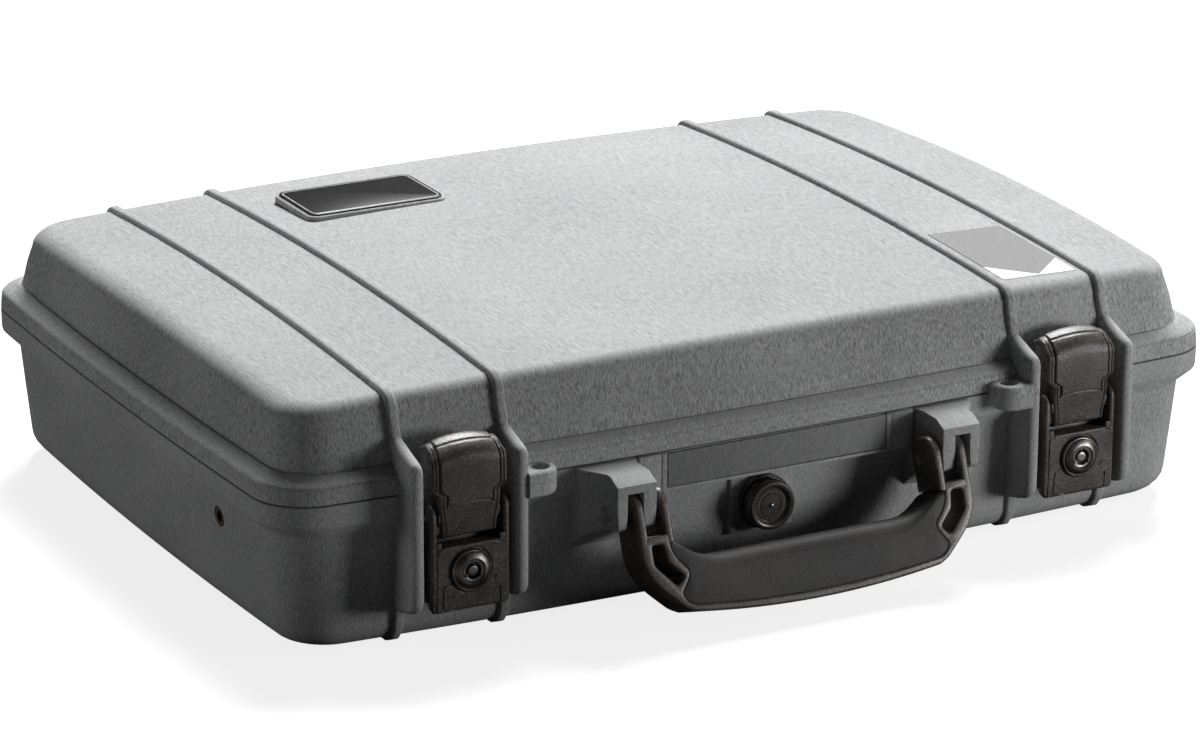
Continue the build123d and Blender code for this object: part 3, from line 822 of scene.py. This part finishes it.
def handle_grip():
    inner = [(x + 0.1, z) for x, z in smooth_line(FRAME_INNER, 4)]
    low = sagging(54.4, -41.4, -38.1)
    tip = [(55.6, -10.3)]
    loop = low[1:-1] + inner + tip + [(30, -5), (-30, -5)] + flipped(tip) + flipped(inner)
    grip = slab(loop, "y", (FRONT - 2, BACK + 2))
    top_line = smooth_line([
        (0, -20.4), (22, -20.4), (42, -20.4), (49, -19.2), (54, -16.6), (57.2, -14.3), (59.6, -13.3),
        (62.5, -12.8),
    ], 6)
    rings = []
    for x, top in flipped(top_line)[:-1] + top_line:
        corner = 6.8 - 4.6 * ease(38, 57, abs(x))
        bulge = 0.25 * (1 - (x / 60) ** 2)
        y0, y1, z0 = FRONT + 0.1 - bulge * 0.4, BACK - 0.1, -52.0
        section = [(y0, z0)]
        for middle, start in ((y0 + corner, 180), (y1 - corner, 90)):
            section += [on_circle((middle, top - corner), corner, start - 90 * k / 8) for k in range(9)]
        section.append((y1, z0))
        rings.append([(x, y, z) for y, z in section])
    carved(grip, swept(rings), "INTERSECT")
    return leaned(rounded(grip, 0.45, 2, 55))


# ---- valve, panel, plates ----
VALVE = (-4.5, 36.5)            # X and Z of its axis


def valve_knob():
    """Round cap with a thick polished rim, a dished face and eight small scallops."""
    profile = [
        (0.02, -156.9), (1, -156.9), (1.1, -156.6), (4.2, -156.5), (4.4, -156.75), (4.7, -156.75),
        (4.9, -156.5), (6.6, -156.4), (7.1, -156.7), (7.6, -157.4), (8.1, -157.85), (8.8, -158),
        (9.5, -157.85), (10, -157.3), (10.25, -156.4), (10.3, -155.4), (10.3, -152.6), (10, -152.3),
        (3, -152.3), (3, -143), (0.02, -143),
    ]
    knob = turned(profile, *VALVE, 96)
    for k in range(8):
        bored(knob, "y", on_circle(VALVE, 10.65, 45 * k), 0.85, (-156.4, -151), 20)
    return knob


def valve_marks():
    """Fine marks moulded in a ring round the knob's face; their pale grey is painted highlight, the
    light that the raised marks catch.
    """
    ticks = []
    for turn in range(0, 360, 10):
        x, z = on_circle(VALVE, 5.8, turn)
        tick = box((-0.55, 0.55), (-156.75, -156.2), (-0.16, 0.16), 0.1)
        ticks.append(placed(tick, (x, 0, z), -turn, "Y"))
    return ticks


def valve_eye():
    profile = [
        (0.02, -157.5), (0.45, -157.45), (0.8, -157.2), (0.95, -156.9), (0.95, -156.3), (0.02, -156.3),
    ]
    return turned(profile, *VALVE, 32)


def name_panel():
    return box((-48.8, 48.8), (-153.3, -151.95), (50.3, 64), 0.3)


def label_plate():
    return slab(round_box(30.5, 18, 4, LABEL), "z", (106.55, 107.35), 0.25, 2, 50)


def sticker():
    """Paper sticker pressed onto the dome between the ribs."""
    columns = [119.2 + 34.4 * k / 12 for k in range(13)]
    rings = []
    for y in (-126 + 58 * row / 12 for row in range(13)):
        top = [(x, y, dome(x, y) + 0.28) for x in columns]
        rings.append(top + [(x, y, dome(x, y) - 0.3) for x in reversed(columns)])
    return swept(rings)


# ---- materials ----
def add_node(tree, kind, inputs=None, **settings):
    """New shader node; an input is given as a plain value or as another node's socket."""
    node = tree.nodes.new("ShaderNode" + kind)
    for key, value in settings.items():
        setattr(node, key, value)
    for key, value in (inputs or {}).items():
        if isinstance(value, bpy.types.NodeSocket):
            tree.links.new(value, node.inputs[key])
        else:
            node.inputs[key].default_value = value
    return node


class Paint:
    """A material under construction, with short calls for the nodes that it needs."""

    def __init__(self, name, roughness=0.5, metallic=0.0, specular=0.5):
        self.material = bpy.data.materials.new(name)
        self.material.use_nodes = True
        self.tree = self.material.node_tree
        self.shader = self.tree.nodes["Principled BSDF"]
        self.shader.inputs["Roughness"].default_value = roughness
        self.shader.inputs["Metallic"].default_value = metallic
        self.shader.inputs["Specular IOR Level"].default_value = specular
        coordinates = self.node("TexCoord")
        self.place, self.normal = coordinates.outputs["Object"], coordinates.outputs["Normal"]

    def node(self, kind, inputs=None, **settings):
        return add_node(self.tree, kind, inputs, **settings)

    def wire(self, socket, name):
        self.tree.links.new(socket, self.shader.inputs[name])

    def stretched(self, scale, wander=0.0, wander_scale=30):
        """Object coordinates stretched along the axes, with a slow wander of the grain."""
        vector = self.place
        if wander:
            slow = self.noise(vector, wander_scale, 1.5, output="Color")
            inputs = {0: slow, 1: (wander,) * 3, 2: vector}
            vector = self.node("VectorMath", inputs, operation="MULTIPLY_ADD").outputs[0]
        return self.node("Mapping", {"Vector": vector, "Scale": scale}).outputs["Vector"]

    def noise(self, vector, scale, detail=2.0, roughness=0.5, output="Fac"):
        inputs = {"Vector": vector, "Scale": scale, "Detail": detail, "Roughness": roughness}
        return self.node("TexNoise", inputs).outputs[output]

    def mixed(self, factor, first, second, kind="FLOAT"):
        inputs = {"Factor": factor, "A": first, "B": second}
        return self.node("Mix", inputs, data_type=kind).outputs["Result"]

    def math(self, operation, first, second=0.0):
        return self.node("Math", {0: first, 1: second}, operation=operation).outputs[0]

    def summed(self, first, share, second, other_share):
        """Sum of two values, each taken times its share."""
        parts = self.math("MULTIPLY", first, share), self.math("MULTIPLY", second, other_share)
        return self.math("ADD", *parts)

    def offset(self, value, middle):
        """How far a value is from a middle, on either side."""
        return self.math("ABSOLUTE", self.math("SUBTRACT", value, middle))

    def split(self, vector):
        return self.node("SeparateXYZ", {0: vector}).outputs

    def shades(self, factor, *stops):
        """Colour ramp from (place, colour) stops; a colour may be one grey number."""
        ramp = self.node("ValToRGB", {0: factor})
        elements = ramp.color_ramp.elements
        while len(elements) < len(stops):
            elements.new(0.5)
        for element, (place, colour) in zip(elements, stops):
            element.position = place
            rgb = (colour,) * 3 if isinstance(colour, (int, float)) else colour
            element.color = (*rgb, 1)
        return ramp.outputs[0]

    def bumped(self, height, depth):
        bump = self.node("Bump", {"Distance": depth, "Strength": 1.0, "Height": height})
        self.wire(bump.outputs[0], "Normal")

    def colour(self, socket):
        self.wire(socket, "Base Color")

    def rough(self, factor, low, high):
        """Roughness that follows a texture between two values."""
        spread = self.node("MapRange", {"Value": factor, "To Min": low, "To Max": high})
        self.wire(spread.outputs[0], "Roughness")

    def facing(self, axis):
        """1 on faces that look along an axis, numbered 0 to 2, and 0 on the others."""
        size = self.math("ABSOLUTE", self.split(self.normal)[axis])
        inputs = {"Value": size, "From Min": 0.45, "From Max": 0.8}
        return self.node("MapRange", inputs, interpolation_type="SMOOTHSTEP").outputs[0]


def shell_paint(name, dark, light, grain=1.0):
    """Grey structural plastic with the fibrous, slightly wandering grain of its mould."""
    paint = Paint(name, specular=0.12)
    fibres = []
    for scale in ((1, 0.09, 0.2), (0.09, 1, 0.2)):
        fibres.append(paint.noise(paint.stretched(scale, 0.004, 26), 2600, 2.5, 0.65))
    fibre = paint.mixed(paint.facing(0), *fibres)
    fine = paint.noise(paint.stretched((1, 1, 1)), 2600)
    grit = paint.mixed(paint.noise(paint.place, 18), fibre, fine)
    both = paint.summed(fibre, 0.7, grit, 0.3)
    cloud = paint.noise(paint.stretched((1, 1, 1.4), 0.02, 8), 11, 3)
    even = paint.math("ADD", paint.math("MULTIPLY", both, grain), 0.5 * (1 - grain))
    tone = paint.math("ADD", even, paint.math("MULTIPLY", cloud, 0.22))
    calm = paint.math("ADD", paint.math("MULTIPLY", tone, 0.7), 0.183)
    strong = paint.math("SUBTRACT", paint.math("MULTIPLY", tone, 1.5), 0.305)
    paint.colour(paint.shades(paint.mixed(paint.facing(2), strong, calm), (0.42, dark), (0.78, light)))
    paint.rough(both, 0.85, 0.62)
    paint.bumped(both, 0.00012)
    return paint.material


def moulded_paint(name, dark, light, roughness, specular, depth=0.00006):
    """Black-brown glass-filled plastic whose fine pale speckle is painted glint, the sparkle of light on
    its rough face.
    """
    paint = Paint(name, specular=specular)
    grit = paint.noise(paint.place, 1250, 3.0, 0.7)
    tone = paint.summed(grit, 0.75, paint.noise(paint.place, 70, 3.0), 0.35)
    # the pale third stop paints glints into the colour as fine specks
    paint.colour(paint.shades(tone, (0.44, dark), (0.62, light), (0.74, tuple(2.6 * c for c in light))))
    paint.rough(grit, roughness + 0.12, roughness - 0.10)
    paint.bumped(grit, depth)
    return paint.material


def metal_paint(name, dark, light, roughness=0.3, rings=False):
    """Plated metal with small dull patches and, when turned, faint rings."""
    paint = Paint(name, metallic=1.0)
    marks = paint.noise(paint.stretched((1, 6, 1)) if rings else paint.place, 900, 3.0, 0.6)
    paint.colour(paint.shades(paint.noise(paint.place, 160), (0.35, dark), (0.65, light)))
    paint.rough(marks, roughness - 0.08, roughness + 0.16)
    paint.bumped(marks, 0.00003)
    return paint.material


def rubber_paint(name, dark, light):
    paint = Paint(name, specular=0.35)
    pores = paint.noise(paint.place, 1400, 3.0, 0.65)
    tone = paint.summed(pores, 0.6, paint.noise(paint.place, 45), 0.45)
    paint.colour(paint.shades(tone, (0.4, dark), (0.65, light)))
    paint.rough(pores, 0.66, 0.50)
    paint.bumped(pores, 0.00008)
    return paint.material


def foam_paint():
    """Open-cell foam: charcoal, pitted at under a millimetre."""
    paint = Paint("foam_paint", roughness=0.95, specular=0.1)
    cells = paint.node("TexVoronoi", {"Vector": paint.place, "Scale": 950}).outputs["Distance"]
    tone = paint.summed(cells, 0.9, paint.noise(paint.place, 60, 3.0), 0.4)
    paint.colour(paint.shades(tone, (0.3, (0.030, 0.030, 0.033)), (0.9, (0.085, 0.085, 0.09))))
    paint.bumped(cells, 0.0006)
    paint.shader.inputs["Sheen Weight"].default_value = 0.25
    return paint.material


def label_paint():
    """Black plate with a fine pale line inside its edge, drawn by its place on the lid."""
    paint = Paint("label_paint", specular=0.15)
    radius = 0.0030
    past = []
    for socket, middle, half in zip(paint.split(paint.place), LABEL, (0.0291, 0.0166)):
        past.append(paint.math("SUBTRACT", paint.offset(socket, middle * MM), half - radius))
    outer = [paint.math("MAXIMUM", value, 0.0) for value in past]
    squares = [paint.math("MULTIPLY", value, value) for value in outer]
    corner = paint.math("SQRT", paint.math("ADD", *squares))
    inside = paint.math("MINIMUM", paint.math("MAXIMUM", *past), 0.0)
    line = paint.math("LESS_THAN", paint.offset(paint.math("ADD", corner, inside), radius), 0.00028)
    scuff = paint.noise(paint.place, 420, 3.0)
    black = paint.shades(scuff, (0.3, 0.010), (0.8, 0.028))
    pale = paint.shades(scuff, (0.3, 0.42), (0.8, 0.62))
    paint.colour(paint.mixed(line, black, pale, "RGBA"))
    paint.rough(scuff, 0.34, 0.26)
    return paint.material


def sticker_paint():
    """Two-tone paper: grey field over a white one, cut by two slanting edges."""
    paint = Paint("sticker_paint", specular=0.1)
    x, y, _ = paint.split(paint.place)
    low = paint.math("ADD", y, 0.1253)
    arrow = paint.math("GREATER_THAN", low, paint.math("MULTIPLY", paint.offset(x, 0.1365), 0.85))
    fibre = paint.noise(paint.place, 900, 3.0)
    grey = paint.shades(fibre, (0.3, 0.235), (0.8, 0.305))
    white = paint.shades(fibre, (0.3, 0.72), (0.8, 0.82))
    paint.colour(paint.mixed(arrow, white, grey, "RGBA"))
    paint.rough(fibre, 0.85, 0.7)
    return paint.material


# ---- camera, light and floor ----
LAMPS = (                       # name, place, target, size, watts
    ("top", (1.37, 1.8, 2.9), (0, 0, 0.1), (1.7, 1.7), 275),
    ("right", (0.85, -0.62, 0.42), (0.2, -0.15, 0.07), (0.35, 0.35), 0.7),
    ("front", (0.62, -0.75, 0.12), (0.18, -0.15, 0.07), (0.3, 0.22), 3.2),
    ("left", (-1.7, 0.45, 0.22), (-0.2, 0, 0.05), (0.7, 0.4), 4.0),
)


def aimed(name, data, place, target, roll=0.0):
    """Puts a camera or a lamp at a place, looking at a target."""
    ob = bpy.data.objects.new(name, data)
    bpy.context.scene.collection.objects.link(ob)
    look = (Vector(target) - Vector(place)).to_track_quat("-Z", "Y").to_matrix()
    turn = look @ Matrix.Rotation(roll, 3, "Z")
    ob.matrix_world = Matrix.Translation(place) @ turn.to_4x4()
    return ob


def camera():
    """Long lens from the front left, a little above."""
    data = bpy.data.cameras.new("camera")
    data.sensor_width = 36.0
    data.lens = 152.818
    data.clip_start = 0.1
    data.clip_end = 40
    place = (-0.940196, -1.764549, 0.730140)
    target = (-0.241321, -0.457464, 0.218752)
    bpy.context.scene.camera = aimed("camera", data, place, target, 0.00435)


def soft_lamp(name, place, target, size, power):
    data = bpy.data.lights.new(name, "AREA")
    data.shape = "RECTANGLE"
    data.size, data.size_y = size
    data.energy = power
    aimed(name, data, place, target)


def bare_tree(holder):
    holder.use_nodes = True
    holder.node_tree.nodes.clear()
    return holder.node_tree


def seen_apart(tree, seen_by, lit, seen, output):
    """Shows one shader to the rays picked out by a socket and another to all the rest."""
    mix = add_node(tree, "MixShader", {0: seen_by, 1: lit.outputs[0], 2: seen.outputs[0]})
    add_node(tree, output, {"Surface": mix.outputs[0]})


def studio():
    scene = bpy.context.scene
    scene.view_settings.view_transform = "Standard"
    scene.world = bpy.data.worlds.new("studio")
    tree = bare_tree(scene.world)
    rays = add_node(tree, "LightPath").outputs
    direct = {0: rays["Is Camera Ray"], 1: rays["Is Transmission Ray"]}
    seen_by = add_node(tree, "Math", direct, operation="MAXIMUM").outputs[0]
    fill = add_node(tree, "Background", {"Color": (0.93, 0.96, 1, 1), "Strength": 0.025})
    white = add_node(tree, "Background", {"Strength": 1.0})
    seen_apart(tree, seen_by, fill, white, "OutputWorld")
    for lamp in LAMPS:
        soft_lamp(*lamp)


def floor():
    fresh()
    bpy.ops.mesh.primitive_plane_add(size=16, location=(0, 3, 0))
    ground = bpy.context.object
    ground.name = "floor"
    bpy.ops.object.transform_apply(location=True)
    paint = bpy.data.materials.new("floor_paint")
    tree = bare_tree(paint)
    rays = add_node(tree, "LightPath").outputs
    matt = add_node(tree, "BsdfDiffuse", {"Color": (0.4, 0.4, 0.4, 1)})
    pale = add_node(tree, "Emission", {"Strength": 0.82})
    both = add_node(tree, "AddShader", {0: matt.outputs[0], 1: pale.outputs[0]})
    dim = add_node(tree, "BsdfDiffuse", {"Color": (0.11, 0.11, 0.11, 1)})
    seen_apart(tree, rays["Is Camera Ray"], dim, both, "OutputMaterial")
    ground.data.materials.append(paint)


# ---- foam ----
def block_ring(half_x, half_y, radius, height, scale=1.0):
    """Ring of a plain round-cornered block, its points in step with those of the case's rim."""
    points = [(p.x * scale, p.y * scale) for p in corner_path(half_x, half_y, radius)]
    return at_height(points, height)


def base_foam_tray():
    """Foam block that fills the base, with the laptop's recess sunk in it."""
    rings = [rim(24, 21, 6.4, 0.04)]
    rings += [rim(*place) for place in (
        (24, 21, 6.4), (18.6, 15.6, 8.2), (15, 12, 14.4), (13.6, 11.1, 26), (12.4, 10.3, 44),
        (12, 10, 59.8), (12.5, 10.5, 61.6), (14, 12, 62.4),
    )]
    rings += [block_ring(*place) for place in (
        (180.5, 127, 17, 62.5), (177.6, 124.6, 15, 62.2), (176.3, 123.3, 14.3, 61.2),
    )]
    for z in (55, 45, 34, 26):
        tuck = 0.7 * sin(pi * (z - 22) / 39)
        rings.append(block_ring(176 - tuck, 123 - tuck, 14, z))
    rings.append(block_ring(176, 123, 14, 23.0))
    rings.append(block_ring(174.8, 121.8, 13, 22.2))

    def pillow(x, y):
        return 22.2 + 0.9 * (1 - (x / 176) ** 2) * (1 - (y / 123) ** 2)

    for scale in (0.9, 0.78, 0.62, 0.45, 0.28, 0.12, 0.03):
        rings.append(block_ring(174.8, 121.8, 13, pillow, scale))
    tray = swept(rings)
    for side in SIDES:
        bored(tray, "z", (side * 88, -119.5), 12.5, (30, 70), 48)
    return tray


def lid_foam_sheet():
    """Convoluted foam stuck in the lid, its peaks pressing down on the laptop."""
    top, valley, peak, plain = 100.5, 81.0, 66.0, 73.0

    def crest(x, y):
        """Rows of soft peaks, levelled out towards the edge."""
        rise = 0.5 + 0.5 * cos(2 * pi * x / 36) * cos(2 * pi * y / 36)
        level = min(ease(188, 170, abs(x)), ease(126, 110, abs(y)))
        return plain + (valley - (valley - peak) * rise - plain) * level

    rings = [block_ring(*place) for place in (
        (170, 110, 16, top, 0.03), (170, 110, 16, top), (174, 114, 17, top - 1.2), (190, 127.5, 14, 88),
        (192.5, 130, 12, 78), (193, 130.5, 12, plain + 1), (192.4, 129.9, 12, plain + 0.1),
    )]
    steps = 60
    for k in range(steps):
        rings.append(block_ring(191, 128.5, 12, crest, 1 - 0.985 * k / (steps - 1)))
    return swept(rings)


# ---- the whole case ----
def left_right(*names):
    return [f"{name}_{word}" for name in names for word in WORDS]


def build():
    greys = (0.20, 0.202, 0.205), (0.51, 0.513, 0.517)
    shell = shell_paint("shell_paint", *greys)
    base_shell = shell_paint("base_paint", *greys, 0.6)
    plain_grey = shell_paint("panel_paint", (0.16, 0.162, 0.165), (0.29, 0.293, 0.297), 0.6)
    latch = moulded_paint("latch_paint", (0.026, 0.023, 0.020), (0.084, 0.075, 0.068), 0.36, 0.5,
                          0.00018)
    handle = moulded_paint("handle_paint", (0.046, 0.040, 0.036), (0.105, 0.092, 0.083), 0.34, 0.6)
    grip = rubber_paint("grip_paint", (0.038, 0.036, 0.035), (0.078, 0.072, 0.069))
    plated = metal_paint("lock_paint", (0.14, 0.130, 0.121), (0.29, 0.272, 0.255), 0.32, True)
    steel = metal_paint("steel_paint", (0.42, 0.42, 0.41), (0.62, 0.62, 0.61))
    # brass darkened far below its own colour: partly the brass, partly painted shade for the shadow deep
    # in the strap's bore
    brass_and_painted_shade = metal_paint("brass_paint", (0.09, 0.07, 0.05), (0.17, 0.13, 0.09), 0.45)
    valve = moulded_paint("valve_paint", (0.020, 0.017, 0.015), (0.056, 0.047, 0.041), 0.26, 0.8)
    # pale grey for the valve's raised marks: painted highlight, where they catch the light
    painted_highlight_grey = rubber_paint("mark_paint", 0.10, 0.20)
    gasket = rubber_paint("gasket_paint", 0.012, 0.030)
    film = rubber_paint("membrane_paint", (0.62, 0.62, 0.60), (0.82, 0.82, 0.80))
    foam = foam_paint()

    base_nodes = left_right("base_guard_inner", "base_guard_outer", "handle_bracket",
                            "base_knuckle_inner", "base_knuckle_outer")
    lid_nodes = left_right("lid_guard_inner", "lid_guard_outer", "lid_knuckle")
    finished("case_base", base_parts(), 35, base_shell, "base", "shell", "base_shell", *base_nodes)
    finished("case_lid", lid_parts(), 35, shell, "lid", "shell", "lid_shell", *lid_nodes)
    for side, word in zip(SIDES, WORDS):
        claw, lever, plug = f"claw_{word}", f"lever_{word}", f"plug_{word}"
        finished("claw", claw_parts(side), 32, latch, claw, "latch", f"latch_{claw}")
        finished("lever", lever_parts(side), 32, latch, lever, "latch", f"latch_{lever}")
        finished("barrel", [lock_barrel(side)], 40, plated, lever, "lock_metal", f"lock_barrel_{word}")
        finished("plug", [lock_plug(side)], 40, plated, plug, "lock_metal", f"lock_{plug}")
    finished("frame", handle_frame(), 32, handle, "handle", "handle", "handle_frame")
    finished("grip", [handle_grip()], 32, grip, "handle", "grip", "handle_grip")
    finished("knob", [valve_knob()], 30, valve, "valve_knob", "valve", "valve_knob")
    finished("eye", [valve_eye()], 40, steel, "valve_knob", "pin_steel")
    finished("marks", valve_marks(), 40, painted_highlight_grey, "valve_knob", "valve")
    finished("panel", [name_panel()], 30, plain_grey, "base", "panel", "name_panel")
    finished("label", [label_plate()], 30, label_paint(), "lid", "label", "label_plate")
    finished("sticker", [sticker()], 30, sticker_paint(), "lid", "sticker", "sticker")
    finished("foam_tray", [base_foam_tray()], 50, foam, "base", "foam", "base_foam")
    finished("foam_sheet", [lid_foam_sheet()], 50, foam, "lid", "foam", "lid_foam")

    fixings = left_right("latch_pin", "hinge_pin", "handle_pin", "lock_nut", "lock_cam", "cam_screw")
    for material, nodes in (
        (gasket, ["valve_washer", "lid_gasket"]), (valve, ["valve_body", "valve_nut"]),
        (film, ["valve_membrane"]), (steel, fixings), (brass_and_painted_shade, left_right("strap_insert")),
    ):
        for node in nodes:
            painted(bpy.data.objects[node], material)


build()
camera()
studio()
floor()
